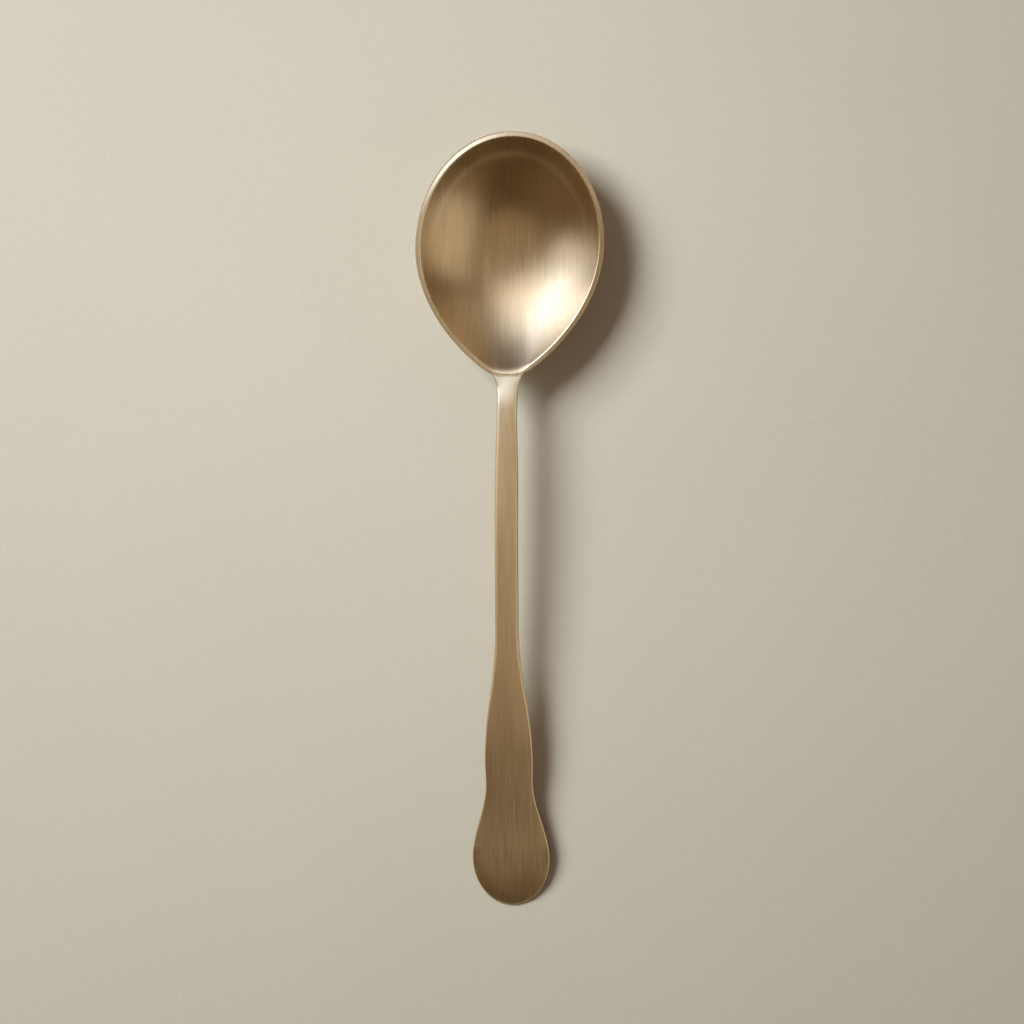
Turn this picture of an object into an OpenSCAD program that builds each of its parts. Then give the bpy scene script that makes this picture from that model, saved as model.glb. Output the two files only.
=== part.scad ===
// Serving spoon in brushed brass: a pressed bowl, a forged handle and the brazing between them.
// +Y runs along the spoon towards the tip of the bowl, +X to the right and +Z up.
// The origin is the middle of the spoon's length and width, on the surface that it lies on.

/* [Overall] */
// Length from the tip of the bowl to the end of the handle
overall_l = 240; // [220:1:270]
// How far the middle of the spoon bows sideways from its two ends
side_bow = 1.9; // [0:0.1:4]

/* [Bowl] */
// Width of the bowl across its rim
bowl_w = 58.2; // [50:0.1:66]
// From the widest place of the bowl to its tip
bowl_front = 34.8; // [28:0.1:42]
// From the widest place of the bowl to the point where its sides would meet
bowl_neck = 43.1; // [38:0.1:50]
// How much of that point is cut off square at the neck
neck_cut = 2.5; // [1.5:0.1:4]
// Depth of the bowl inside, below its rim
bowl_depth = 12.5; // [9:0.1:16]
// Thickness of the sheet under the middle of the bowl
bowl_wall = 1.5; // [1:0.1:2]
// Width of the flat land round the rim
rim_land = 1.55; // [1:0.05:2]
// How far the rim dips from its widest place to the neck
rim_dip = 0.6; // [0:0.1:1.5]
// Eased edge on both sides of the rim's land
rim_ease = 0.2; // [0.1:0.05:0.3]
// How much of the bowl's round underside is ground off flat
foot_cut = 0.25; // [0.1:0.05:0.4]

/* [Handle outline] */
// Width where the handle meets the bowl
root_w = 9.8; // [8:0.1:12]
// Length over which that width dies away
flare_l = 2.1; // [1.5:0.1:4]
// Narrowest width, just behind the bowl
neck_w = 6.3; // [5:0.1:8]
// Width of the long plain shank
shank_w = 7.3; // [6:0.1:9]
// Width half way up the swell
swell_w = 11.1; // [9:0.1:12]
// Width at the top of the swell
shoulder_w = 14.8; // [13:0.1:18]
// Width of the slight waist behind the swell
waist_w = 14.5; // [12:0.1:15]
// Width of the paddle at the end
paddle_w = 23.9; // [19:0.1:28]
// From the bowl to the narrowest place
neck_l = 11; // [9:0.1:13]
// From the narrowest place to the full width of the shank
taper_l = 22; // [16:0.5:30]
// From the end of the shank to the middle of the swell
rise_l = 22.3; // [18:0.1:26]
// From the middle of the swell to its top
shoulder_l = 20.5; // [16:0.1:24]
// From the top of the swell to the waist
waist_l = 6.5; // [5:0.1:9]
// From the waist to the widest place of the paddle
paddle_l = 23.6; // [20:0.1:28]
// From the widest place of the paddle to the end
tip_l = 14.8; // [11:0.1:18]

/* [Handle profile] */
// How far the handle rises behind the bowl, above the rim at the neck
deck_rise = 1.3; // [0.5:0.1:2.5]
// Length of the level stretch behind the bowl
level_l = 30; // [20:0.5:40]
// Height of the top of the handle at the shoulder
shoulder_h = 7.9; // [6:0.1:9]
// Height of the top of the handle at the widest place of the paddle
paddle_h = 4.3; // [3.5:0.1:5]
// Thickness at the neck
neck_t = 2.6; // [2:0.1:3.2]
// Thickness of the shank
shank_t = 2.3; // [1.8:0.1:2.8]
// Thickness of the paddle
paddle_t = 1.8; // [1.4:0.1:2.2]
// Thickness at the end of the handle
tip_t = 1.4; // [1.1:0.1:1.8]
// Radius of the handle's long edges
edge_r = 0.6; // [0.3:0.05:0.9]
// How far the middle of the handle's top stands above its edges
crown = 0.2; // [0:0.05:0.4]

/* [Brazed joint] */
// Length of the handle's tongue under the bowl
tongue_l = 15; // [10:0.5:18]
// Width of the tongue at its far end
tongue_w = 5; // [4:0.1:6]
// Thickness of the tongue at its far end
tongue_t = 0.8; // [0.6:0.05:1.2]
// Gap between the tongue and the bowl, filled with brazing
film = 0.2; // [0.15:0.01:0.3]
// Width of the fillet of brazing round the tongue
bead = 0.6; // [0.4:0.05:0.8]

/* [Hidden] */

brass = "#b99a63";
braze = "#c9ac72";

// Counts of the meshes
around = 72;
rings = 14;
tongue_rows = 9;
root_rows = 10;
shank_rows = 34;
tip_rows = 12;

// Bowl, derived. The centre is the widest and deepest place.
half_l = overall_l / 2;
bowl_y = half_l - bowl_front;
neck_stop = bowl_neck - neck_cut;
rim_h = bowl_depth + bowl_wall;
full_turn = 360;
half_turn = full_turn / 2;
neck_turn = full_turn * 3 / 4;
quarter_turn = full_turn / 4;
// The sides of the neck half are a power of the cosine, which draws them in towards the handle
side_power = 1.66;
// The profile of the bowl is this power of the way out from the centre
bowl_power = 2.5;
// Rings near the centre are ovals, and take the shape of the rim as this power of the way out
shape_power = 3;
// Length of that oval's neck half, and ease of the corners at the neck, as shares
oval_neck_share = 0.9;
corner_share = 0.3;
// The inner edge of the rim stands further in along the neck than round the front
neck_land_share = 1.3;

// Handle, derived: distances from the bowl's end to each place
root_y = bowl_y - neck_stop;
handle_l = root_y + half_l;
paddle_d = handle_l - tip_l;
waist_d = paddle_d - paddle_l;
shoulder_d = waist_d - waist_l;
swell_d = shoulder_d - shoulder_l;
shank_d = swell_d - rise_l;
root_h = rim_h - rim_dip - rim_ease - film;
deck_h = rim_h - rim_dip + deck_rise;
// Slopes of the outline and the profile, as height or half width gained for each unit of length
swell_slope_share = 0.16;
root_slope_share = 0.12;
shoulder_slope_share = -0.131;
paddle_slope_share = -0.07;
tip_slope_share = -0.27;
// The end of the handle is set low, and its underside is flat where it would pass through the surface
tip_sink_share = 0.15;

// Bisection steps that place the tongue's points, and the clearance below the bowl's facets
solve_steps = 24;
facet_gap = 0.05;
// Shares of the tongue: how square its end is, how narrow its last row is, the height of its side
// at the bowl's edge and at its end, and how far down that side the brazing reaches
tongue_end_power = 8;
tongue_end_share = 0.85;
root_side_share = 0.8;
tongue_side_share = 0.5;
bead_side_share = 0.6;

// The smaller of two lengths, with the corner between them eased
function eased_min(a, b, ease) = b - ease * ln(1 + exp((b - a) / ease));

// A point between two, at share s of the way
function between(a, b, s) = a + (b - a) * s;

// Height on a cubic that leaves p with slope m and reaches q with slope n, at share s of the length l
function cubic(p, m, q, n, l, s) =
    p * (1 + 2 * s) * pow(1 - s, 2) + q * s * s * (3 - 2 * s) +
    l * s * (1 - s) * (m * (1 - s) - n * s);

// Value at d of a table whose rows are place, value and slope
function along(rows, d, i = 0) =
    i < len(rows) - 2 && d > rows[i + 1][0] ? along(rows, d, i + 1) :
    let (l = rows[i + 1][0] - rows[i][0])
    cubic(rows[i][1], rows[i][2], rows[i + 1][1], rows[i + 1][2], l, (d - rows[i][0]) / l);

// The sideways bow of the whole spoon, nought where the bowl is widest
function bow(y) = side_bow * (pow(y / half_l, 2) - pow(bowl_y / half_l, 2));
function bowed(p) = [p.x + bow(p.y), p.y, p.z];

// Outline of the bowl at turn u, for a half width w, a front f, a neck n and a square end at e
function outline_x(w, u) =
    u <= half_turn ? w * cos(u) : w * sign(cos(u)) * pow(abs(cos(u)), side_power);
function outline_y(f, n, e, u) =
    u <= half_turn ? f * sin(u) : -eased_min(-n * sin(u), e, corner_share * neck_cut);

// Height of the rim over a place that lies y in front of the centre
function rim_z(y) = rim_h - rim_dip * pow(min(y, 0) / neck_stop, 2);

// A point of the bowl's inside or outside: share s of the way out from the centre, at turn u.
// inset is nought on the outside, drop lowers the edge, and base is the height of the centre.
function bowl_point(s, u, inset, drop, base) =
    let (
        w = bowl_w / 2 - inset,
        f = bowl_front - inset,
        n = bowl_neck - inset * neck_land_share,
        m = pow(s, shape_power),
        oval_f = u <= half_turn ? f : n * oval_neck_share,
        x = s * between(w * cos(u), outline_x(w, u), m),
        y = s * between(oval_f * sin(u), outline_y(f, n, neck_stop - inset, u), m),
        edge_y = outline_y(f, n, neck_stop - inset, u),
        z = between(base, rim_z(edge_y) - drop, pow(s, bowl_power))
    )
    [x, bowl_y + y, z];

function bowl_loop(s, inset, drop, base) =
    [for (k = [0:around - 1]) bowed(bowl_point(s, k * full_turn / around, inset, drop, base))];

// Triangles between loops of n points that follow each other, each loop running the same way
function loft_faces(loops, n) =
    [for (r = [0:loops - 2], k = [0:n - 1])
        let (a = r * n + k, b = r * n + (k + 1) % n)
        each [[a, b + n, a + n], [a, b, b + n]]];

// Triangles from a loop that starts at first to one point, seen the other way round when turned
function cap_faces(first, n, point, turned) =
    [for (k = [0:n - 1])
        let (a = first + k, b = first + (k + 1) % n)
        turned ? [a, b, point] : [b, a, point]];

// A closed skin over loops of equal length, with a middle point at each end
module skin(loops, first_point, last_point) {
    n = len(loops[0]);
    count = len(loops);
    points = concat([for (l = loops) each l], [first_point, last_point]);
    faces = concat(
        loft_faces(count, n),
        cap_faces(0, n, count * n, false),
        cap_faces((count - 1) * n, n, count * n + 1, true));
    polyhedron(points = points, faces = faces, convexity = 4);
}

function middle(loop) = [for (v = loop) 1] * loop / len(loop);
function reversed(list) = [for (k = [len(list) - 1:-1:0]) list[k]];

module bowl() {
    inner_base = bowl_wall;
    outer_base = -foot_cut;
    inner = [for (k = [1:rings]) bowl_loop(k / rings, rim_land, rim_ease, inner_base)];
    land = [bowl_loop(1, rim_land - rim_ease, 0, inner_base), bowl_loop(1, rim_ease, 0, inner_base)];
    outer = [for (k = [rings:-1:1]) bowl_loop(k / rings, 0, rim_ease, outer_base)];
    color(brass)
    difference() {
        skin(concat(inner, land, outer), [0, bowl_y, inner_base], [0, bowl_y, outer_base]);
        translate([-bowl_w / 2, bowl_y - bowl_neck, -bowl_wall])
        cube([bowl_w, bowl_front + bowl_neck, bowl_wall]);
    }
}

// Half width of the handle at distance d from the bowl
outline_rows = [
    [0, neck_w / 2, 0],
    [neck_l, neck_w / 2, 0],
    [neck_l + taper_l, shank_w / 2, 0],
    [shank_d, shank_w / 2, 0],
    [swell_d, swell_w / 2, swell_slope_share],
    [shoulder_d, shoulder_w / 2, 0],
    [waist_d, waist_w / 2, 0],
    [paddle_d, paddle_w / 2, 0]];
function flare(d) = (root_w - neck_w) / 2 * exp(-d / flare_l);
function half_width(d) =
    d > paddle_d ? paddle_w / 2 * sqrt(max(0, 1 - pow((d - paddle_d) / tip_l, 2))) :
    along(outline_rows, d) + flare(d);

// Height of the top of the handle, and its thickness
crest_rows = [
    [0, root_h, root_slope_share],
    [neck_l, deck_h, 0],
    [level_l, deck_h, 0],
    [shoulder_d, shoulder_h, shoulder_slope_share],
    [paddle_d, paddle_h, paddle_slope_share],
    [handle_l, tip_t * (1 - tip_sink_share), tip_slope_share]];
thickness_rows = [
    [0, neck_t, 0],
    [neck_l + taper_l, shank_t, 0],
    [shank_d, shank_t, 0],
    [paddle_d, paddle_t, 0],
    [handle_l, tip_t, 0]];

// The end is rounded over half its thickness
function end_round(d) =
    let (r = tip_t / 2, e = max(0, d - handle_l + r))
    sqrt(max(0, 1 - pow(e / r, 2)));

// Rounded corner of the handle's section as rows of inset from the edge and drop, in edge radii
corner_shares = [[0, 1], [1 - sqrt(0.5), 1 - sqrt(0.5)], [1, 0]];
// Places across the flat between the corners, as shares of its half width
flat_shares = [-0.5, 0, 0.5];

// One side of the handle's section from left to right: sideways place and drop below the top
function section_side(w, r, rise) =
    let (flat = w - r)
    concat(
        [for (c = corner_shares) [-w + c[0] * r, c[1] * r]],
        [for (s = flat_shares) [s * flat, -rise * (1 - s * s)]],
        [for (c = reversed(corner_shares)) [w - c[0] * r, c[1] * r]]);

// Sine of the turn away from the neck's middle at which the bowl's ring s is x wide, by halving
function neck_sine(x, s, low, high, steps) =
    let (
        mid = (low + high) / 2,
        m = pow(s, shape_power),
        reach = s * bowl_w / 2 * between(mid, pow(mid, side_power), m)
    )
    steps == 0 ? mid :
    reach > x ? neck_sine(x, s, low, mid, steps - 1) : neck_sine(x, s, mid, high, steps - 1);

// A point on the underside of the bowl by the neck, on ring s and x from the middle, lowered
function under_point(x, s, lower) =
    let (
        v = asin(neck_sine(abs(x), s, 0, 1, solve_steps)),
        p = bowl_point(s, neck_turn + sign(x) * v, 0, rim_ease, -foot_cut)
    )
    bowed([p.x, p.y, p.z - lower]);

// How far the bowl's edge curves back from the handle at share c of the root's half width, dying away
function edge_curve(c, d) = (under_point(c * root_w / 2, 1, 0).y - root_y) * exp(-d / flare_l);

// The section of the handle at distance d from the bowl, along the top and back below
function handle_loop(d) =
    let (
        w = half_width(d),
        h = along(thickness_rows, d) / 2 * end_round(d),
        mid = along(crest_rows, d) - along(thickness_rows, d) / 2,
        r = min(edge_r, h, w / 2),
        rise = crown * end_round(d),
        top = [for (p = section_side(w, r, rise)) [p.x, mid + h - rise - p.y]],
        base = [for (p = section_side(w, r, 0)) [p.x, mid - h + p.y]]
    )
    [for (p = concat(top, reversed(base)))
        bowed([p.x, root_y - d + edge_curve(p.x / w, d), max(0, p.y)])];

// The tongue: its last ring, and its half width and thickness at share t from the bowl's edge
tongue_s = 1 - tongue_l / neck_stop;
function tongue_half(t) =
    between(tongue_w / 2, root_w / 2, pow(1 - t, 3)) *
    sqrt(1 - tongue_end_share * pow(t, tongue_end_power));
function tongue_depth(t) = between(neck_t, tongue_t, t);
function tongue_side(t) = between(root_side_share, tongue_side_share, t);
function tongue_shares() = [for (k = [tongue_rows:-1:0]) k / tongue_rows];

// Places across the tongue, as many as across the handle
columns = len(section_side(shank_w, edge_r, 0));
function column_share(k) = 2 * k / (columns - 1) - 1;
function belly(c, t) = between(tongue_side(t), 1, sqrt(1 - c * c));

function tongue_loop(t) =
    let (
        s = between(1, tongue_s, t),
        w = tongue_half(t),
        top = [for (k = [0:columns - 1]) under_point(column_share(k) * w, s, film)],
        base = [for (k = [0:columns - 1])
            let (c = column_share(k))
            under_point(c * w, s, film + tongue_depth(t) * belly(c, t))]
    )
    concat(top, reversed(base));

// Distances of the handle's sections, closest together at the bowl and at the end
root_places = [for (k = [1:root_rows]) neck_l * pow(k / root_rows, 2)];
shank_places = [for (k = [1:shank_rows]) between(neck_l, paddle_d, k / shank_rows)];
tip_places = [for (k = [1:tip_rows - 1]) paddle_d + tip_l * sin(quarter_turn * k / tip_rows)];
tip_last = handle_l - tip_t / 2 * (1 - cos(quarter_turn / tip_rows));

module handle() {
    places = concat(root_places, shank_places, tip_places, [tip_last]);
    loops = concat(
        [for (t = tongue_shares()) tongue_loop(t)],
        [for (d = places) handle_loop(d)]);
    color(brass)
    skin(loops, middle(loops[0]), middle(loops[len(loops) - 1]));
}

// The brazing at share t: over the tongue, with a fillet down each of its sides
function braze_loop(t) =
    let (
        s = between(1, tongue_s, t),
        w = tongue_half(t),
        side = tongue_depth(t) * tongue_side(t) * bead_side_share,
        top = [for (k = [0:columns - 1]) under_point(column_share(k) * w, s, facet_gap)],
        base = [for (k = [0:columns - 1]) under_point(column_share(k) * w, s, film)]
    )
    concat(
        [under_point(-w - bead, s, facet_gap)], top, [under_point(w + bead, s, facet_gap)],
        [under_point(w, s, film + side)], reversed(base), [under_point(-w, s, film + side)]);

module neck_braze() {
    loops = [for (t = tongue_shares()) braze_loop(t)];
    color(braze)
    skin(loops, middle(loops[0]), middle(loops[len(loops) - 1]));
}

bowl();
handle();
neck_braze();
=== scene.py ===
"""Serving spoon in brushed brass: a pressed bowl, a forged handle and the brazing that joins them.

The spoon lies on its bowl and on the end of its handle. +Y runs towards the tip of the bowl, +X to the right
and +Z up. All lengths are metres, and the origin is on the floor under the middle of the spoon.
"""

import math

import bpy
import numpy as np
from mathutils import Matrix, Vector


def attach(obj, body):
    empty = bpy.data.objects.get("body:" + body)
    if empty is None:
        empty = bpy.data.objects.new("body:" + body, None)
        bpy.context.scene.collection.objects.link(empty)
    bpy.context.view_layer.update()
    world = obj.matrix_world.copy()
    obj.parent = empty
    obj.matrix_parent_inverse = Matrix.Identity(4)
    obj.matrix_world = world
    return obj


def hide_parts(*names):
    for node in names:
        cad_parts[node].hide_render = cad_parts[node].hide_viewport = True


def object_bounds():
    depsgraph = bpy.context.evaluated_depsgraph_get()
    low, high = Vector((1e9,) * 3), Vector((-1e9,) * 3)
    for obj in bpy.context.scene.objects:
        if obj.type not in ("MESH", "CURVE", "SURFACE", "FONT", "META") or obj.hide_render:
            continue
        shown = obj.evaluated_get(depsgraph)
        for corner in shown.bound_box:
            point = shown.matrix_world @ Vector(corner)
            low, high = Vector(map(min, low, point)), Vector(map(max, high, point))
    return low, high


bl_info = {
    "name": "Serving spoon",
    "version": (1, 0, 0),
    "blender": (4, 5, 0),
    "location": "View3D > Sidebar > Spoon",
    "description": "Builds a serving spoon in brushed brass, with its floor, lights and camera",
    "category": "Add Mesh",
}

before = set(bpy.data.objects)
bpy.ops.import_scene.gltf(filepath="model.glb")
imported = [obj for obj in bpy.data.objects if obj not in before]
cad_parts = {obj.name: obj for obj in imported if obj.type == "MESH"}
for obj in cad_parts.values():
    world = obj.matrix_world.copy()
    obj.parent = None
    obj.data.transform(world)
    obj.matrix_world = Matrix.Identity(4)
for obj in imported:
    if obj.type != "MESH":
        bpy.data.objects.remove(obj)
SOLID_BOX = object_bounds()
MM = 0.001
NECK_TURN = 1.5 * math.pi
BODY = "root"
BRUSHING = "brushing"

# Attributes that mark the places of the finish, of the painted highlights and of the painted shade
MARKS = ("edge", "cross_marks", "dressed", "painted_shade")

# What the last letter in the name of a size stands for
WORDS = {"w": "width", "l": "length", "h": "height", "t": "thickness", "r": "radius"}

# Counts of the meshes
BOWL_TURNS = 620
WALL_ROWS = 52
EDGE_ROWS = 9
LAND_ROWS = 4
FOOT_ROWS = 6
CORNER_COLUMNS = 9
FLAT_COLUMNS = 30
TONGUE_ROWS = 48
ROOT_ROWS = 70
SHANK_ROWS = 320
TIP_ROWS = 80
SEAM_ROWS = 90
FILLET_COLUMNS = 7
FINE_STEPS = 20000
SOLVE_STEPS = 40

# Powers and shares that shape the bowl, as in the solids
SIDE_POWER = 1.66
BOWL_POWER = 2.5
SHAPE_POWER = 3
OVAL_NECK_SHARE = 0.9
CORNER_SHARE = 0.3
NECK_LAND_SHARE = 1.3

# The bowl's finer shapes: how its turns are spread, its edges, its land and the ring of painted reflection
# inside it
TURNING_SHARE = 0.6
NECK_SOFT_START = 0.87
NECK_SOFT_RUN = 0.1
LEFT_LEAN_POWER = 1.5
PAINTED_ARC_SHARE = 0.86
PAINTED_ARC_WIDTH_SHARE = 0.03
EDGE_START_SHARE = 1.5
EDGE_OVER_SHARE = 0.3
EDGE_REACH_SHARE = 1.4

# Slopes and shares that shape the handle, as in the solids
SWELL_SLOPE = 0.16
ROOT_SLOPE = 0.12
SHOULDER_SLOPE = -0.131
PADDLE_SLOPE = -0.07
TIP_SLOPE = -0.27
TIP_SINK_SHARE = 0.15
TONGUE_END_POWER = 8
TONGUE_END_SHARE = 0.85
ROOT_SIDE_SHARE = 0.8
TONGUE_SIDE_SHARE = 0.5
BEAD_SIDE_SHARE = 0.6

# Finer shapes of handle and brazing, the step that gives slopes, and where the handle has painted shade on
# its sides and towards its end
ROOT_EDGE_SHARE = 0.3
BEND_SLOPE = 0.035
BEAD_POWER = 2.2
SEAM_END_POWER = 6
SLOPE_STEP = 0.05 * MM
PAINTED_SIDE_SHARE = 0.5
PAINTED_RIGHT_SIDE_SHARE = 0.95
PAINTED_LEFT_SIDE_PART = 0.7
PAINTED_RIGHT_SIDE_PART = 1.4
SHADE_START_SHARE = 0.25

# Where the paddle has cross marks: middle and run along it, start and fade across it, as shares
CROSS_ALONG = (0.2, 0.25)
CROSS_OVER = (0.28, 0.16)

# Patterns of the finish: repeats in a metre along each axis, and shares of the repeats of the lines
STREAK_SHARES = (0.22, 0.6)
DRIFT_SCALE = (55, 30, 55)
PATCH_SCALE = (420, 420, 420)
SCRATCH_SCALE = (2600, 70, 1)
SCRATCH_TURN = 0.42
CROSS_SCALE = (160, 2600, 1)
WARP_SCALE = (2200, 260, 1)
WEFT_SCALE = (260, 2200, 1)
CLOUD_SCALE = (9, 9, 1)

# The range that noise mostly keeps to, and the ranges over which it brings out each mark
NOISE_RANGE = (0.3, 0.7)
SCRATCH_RANGE = (0.735, 0.8)
CROSS_RANGE = (0.5, 0.62)
PIT_RANGE = (0.36, 0.44)
BURNISH_RANGE = (0.35, 0.6)
THREAD_RANGE = (0.7, 1.3)

# What each mark adds to the metal's tone, roughness and height, and two shares of that
BURNISH_TONE = 0.3
CROSS_TONE = -0.16
PIT_TONE = -0.35
BURNISH_ROUGHNESS = -0.4
PIT_ROUGHNESS = 0.15
STREAK_ROUGHNESS = 0.03
DRIFT_ROUGHNESS = 0.025
SCRATCH_HEIGHT = -0.35
CROSS_HEIGHT = -0.5
PIT_HEIGHT = -1.5
BURNISH_LEAST_SHARE = 0.3
SLOW_STREAK_SHARE = 0.25

# The floor: distances over which its colour darkens as painted light falloff and then turns into the
# background, its tone there, how much its threads and clouds vary it, and its half width
PAINTED_FLOOR_FALLOFF = (0.04, 0.25)
FLOOR_FAR = (0.5, 1.3)
PAINTED_FALLOFF_TONE = 0.86
THREAD_TONE = 0.025
CLOUD_TONE = 0.015
FLOOR_REACH = 30

# Sines of the heights between which reflections turn from the floor's colour to the room
HORIZON = (0.01, 0.05)

# Soft patches of light in the room: turn from +X towards +Y, height above the floor, radius of the even
# core and width of the soft edge round it, all in degrees, and then the radiance
ROOM_LIGHT = {
    "window": (139, 25, 7, 17, (1.55, 1.95, 3.0)),
    "curtain": (150, 26, 0, 36, (1.4, 1.55, 1.75)),
    "window foot": (143, -6, 0, 18, (7.5, 8.6, 11.0)),
    "wall by the window": (112, 53, 5, 22, (1.45, 1.6, 1.85)),
    "ceiling": (90, 80, 25, 5, (0.28, 0.22, 0.15)),
    "high back wall": (60, 50, 10, 20, (0.12, 0.1, 0.08)),
    "back wall": (48, 24, 12, 10, (0.3, 0.25, 0.18)),
    "right wall": (355, 30, 20, 10, (0.8, 0.75, 0.65)),
    "right corner": (320, 22, 0, 15, (0.4, 0.32, 0.22)),
    "right of the table": (295, 18, 0, 10, (0.2, 0.14, 0.09)),
    "foot of the table": (270, 22, 0, 8, (0.1, 0.07, 0.05)),
    "left of the table": (205, 30, 15, 30, (0.11, 0.08, 0.05)),
}


def amount(description, default, **settings):
    """A plain number, or with settings another quantity."""
    return bpy.props.FloatProperty(description=description, default=default, **settings)


def length(description, millimetres):
    """A length, with its default in millimetres."""
    return amount(description, millimetres * MM, precision=5, unit="LENGTH", subtype="DISTANCE")


def share(description, default):
    """A share from 0 to 1."""
    return amount(description, default, min=0, max=1, subtype="FACTOR")


def angle(description, degrees):
    """An angle, with its default in degrees."""
    return amount(description, math.radians(degrees), unit="ROTATION", subtype="ANGLE")


def colour(description, default):
    """A colour as linear red, green and blue."""
    return bpy.props.FloatVectorProperty(
        description=description, default=default, size=3, min=0, max=1, subtype="COLOR"
    )


def named(group):
    """A group whose properties get their names from the words that the script calls them by."""
    for key, prop in group.__annotations__.items():
        words = [WORDS.get(word, word) for word in key.split("_")]
        prop.keywords["name"] = " ".join(words).capitalize()
    return group


@named
class SPOON_PG_bowl(bpy.types.PropertyGroup):
    """Sizes of the bowl."""

    width: length("Width of the bowl across its rim", 58.2)
    front: length("From its widest place to its tip", 34.8)
    neck: length("From its widest place to where the sides would meet", 43.1)
    neck_cut: length("How much of that point is cut off square", 2.5)
    depth: length("Depth of the bowl inside, below its rim", 12.5)
    wall: length("Thickness of the sheet under the middle", 1.5)
    land: length("Width of the flat land round the rim", 1.55)
    dip: length("How far the rim dips towards the neck", 0.6)
    ease: length("Eased edge on both sides of the land", 0.2)
    foot_cut: length("How much of the underside is ground off flat", 0.25)
    land_gain: length("How much wider the land is at the tip", 0.4)
    side_lean: amount("Slope at which the land falls outwards", 0.07)
    tip_lean: amount("How much steeper it falls at the tip", 0.03)
    left_lean: amount("How much steeper it falls left of the tip", 0.13)
    neck_lean: amount("How much less it falls at the neck", 0.2)
    soft: length("How far its inner edge is smoothed at the neck", 1.2)
    side_bow: length("How far the spoon's middle bows from its ends", 1.9)


@named
class SPOON_PG_handle(bpy.types.PropertyGroup):
    """Sizes of the handle."""

    root_w: length("Width where the handle meets the bowl", 9.8)
    flare_l: length("Length over which that width dies away", 2.1)
    neck_w: length("Narrowest width, just behind the bowl", 6.3)
    shank_w: length("Width of the long plain shank", 7.3)
    swell_w: length("Width half way up the swell", 11.1)
    shoulder_w: length("Width at the top of the swell", 14.8)
    waist_w: length("Width of the waist behind the swell", 14.5)
    paddle_w: length("Width of the paddle at the end", 23.9)
    neck_l: length("From the bowl to the narrowest place", 11)
    taper_l: length("From there to the full shank", 22)
    rise_l: length("From the shank's end to the swell's middle", 22.3)
    shoulder_l: length("From there to the swell's top", 20.5)
    waist_l: length("From there to the waist", 6.5)
    paddle_l: length("From there to the paddle's widest place", 23.6)
    tip_l: length("From there to the handle's end", 14.8)
    deck_rise: length("How far the handle rises above the rim", 1.3)
    level_l: length("Length of the level stretch behind the bowl", 30)
    shoulder_h: length("Height of the top at the shoulder", 7.9)
    paddle_h: length("Height of the top at the widest place", 4.3)
    neck_t: length("Thickness at the neck", 2.6)
    shank_t: length("Thickness of the shank", 2.3)
    paddle_t: length("Thickness of the paddle", 1.8)
    tip_t: length("Thickness at the end", 1.4)
    edge_r: length("Radius of the long edges of the shank", 1)
    paddle_edge_r: length("Radius of the edge of the paddle", 0.45)
    crown: length("How far the top's middle stands above its edges", 0.2)
    bend_l: length("From the bowl to the end of the steep rise", 10)
    bend_h: length("What is left to rise from there", 0.14)
    settle_l: length("From the bowl to where the top is level", 20)
    ease_l: length("How far the bend at the paddle is eased both ways", 5)
    roll_w: length("Width of the edge rolled over round the end", 4)
    roll_h: length("How far that edge rolls down", 0.5)


@named
class SPOON_PG_joint(bpy.types.PropertyGroup):
    """Sizes of the brazed joint."""

    tongue_l: length("Length of the tongue under the bowl", 15)
    tongue_w: length("Width of the tongue at its far end", 5)
    tongue_t: length("Thickness of the tongue there", 0.8)
    film: length("Brazed gap between the tongue and the bowl", 0.2)
    bead: length("Width of the fillet round the tongue", 0.6)
    root_step: length("How far the root lies below the rim's land", 0.02)
    # Painted highlight: over this length the root gets a paler colour as well as a smoother dressing
    dressed_l: length("Length of the root dressed bright", 14)
    seam: length("Half width of the seam across the neck", 0.42)
    seam_crown: length("How far the seam stands above what it joins", 0.005)


@named
class SPOON_PG_finish(bpy.types.PropertyGroup):
    """Colours and finish of the metal."""

    # Painted shade: the bowl's colour is the handle's made about a third darker, for the bowl's darker
    # reflections
    bowl_brass: colour("Colour of the bowl's metal", (0.62, 0.47, 0.29))
    handle_brass: colour("Colour of the handle's metal", (0.9, 0.7, 0.43))
    # Painted highlight: paler colour mixed in on the dressed root, the rim's land and the ring inside the
    # bowl
    dressed_brass: colour("Colour of the dressed metal at the joint", (1, 0.91, 0.72))
    brazing: colour("Colour of the smoothed brazing", (0.85, 0.72, 0.54))
    bowl_roughness: share("Roughness of the brushed bowl", 0.315)
    bowl_stretch: share("How much its brushing stretches the highlights", 0.77)
    handle_roughness: share("Roughness of the satin handle", 0.48)
    dressed_roughness: share("Roughness of the handle's dressed root", 0.34)
    handle_stretch: share("How much its brushing stretches the highlights", 0.4)
    # Painted shade: darkens the handle towards the paddle's end, more at the very end, and on its sides and
    # underside
    touch: share("How much the paddle is darkened by fingers", 0.27)
    end_touch: share("How much more of that the very end has", 0.35)
    side_touch: amount("How much of that the dull sides have", 1.3)
    # Painted highlight: the rim's land gets the paler dressed colour, more on the left and less on the right
    # and across the neck, besides a smoother finish
    ground: share("How much the rim's land is dressed like the root", 0.45)
    ground_side: share("How much more on the left, and less on the right", 0.25)
    ground_neck: share("How much it is so across the neck", 0.2)
    # The faint ring inside the bowl is a painted reflection: a paler, smoother band in the bowl's front half
    ring: share("How much of that the faint ring inside the bowl has", 0.55)
    line_pitch: length("Distance between the lines of the brushing", 0.36)
    line_length: length("Length of those lines", 14)
    line_depth: length("Depth of those lines", 0.008)
    streak: share("How much the lines differ in brightness", 0.12)
    patina: share("How much the metal's tone drifts", 0.03)
    wear: share("How much the edges are burnished", 0.25)
    pitting: share("How deep and dark the pits in the brazing are", 0.5)


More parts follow.
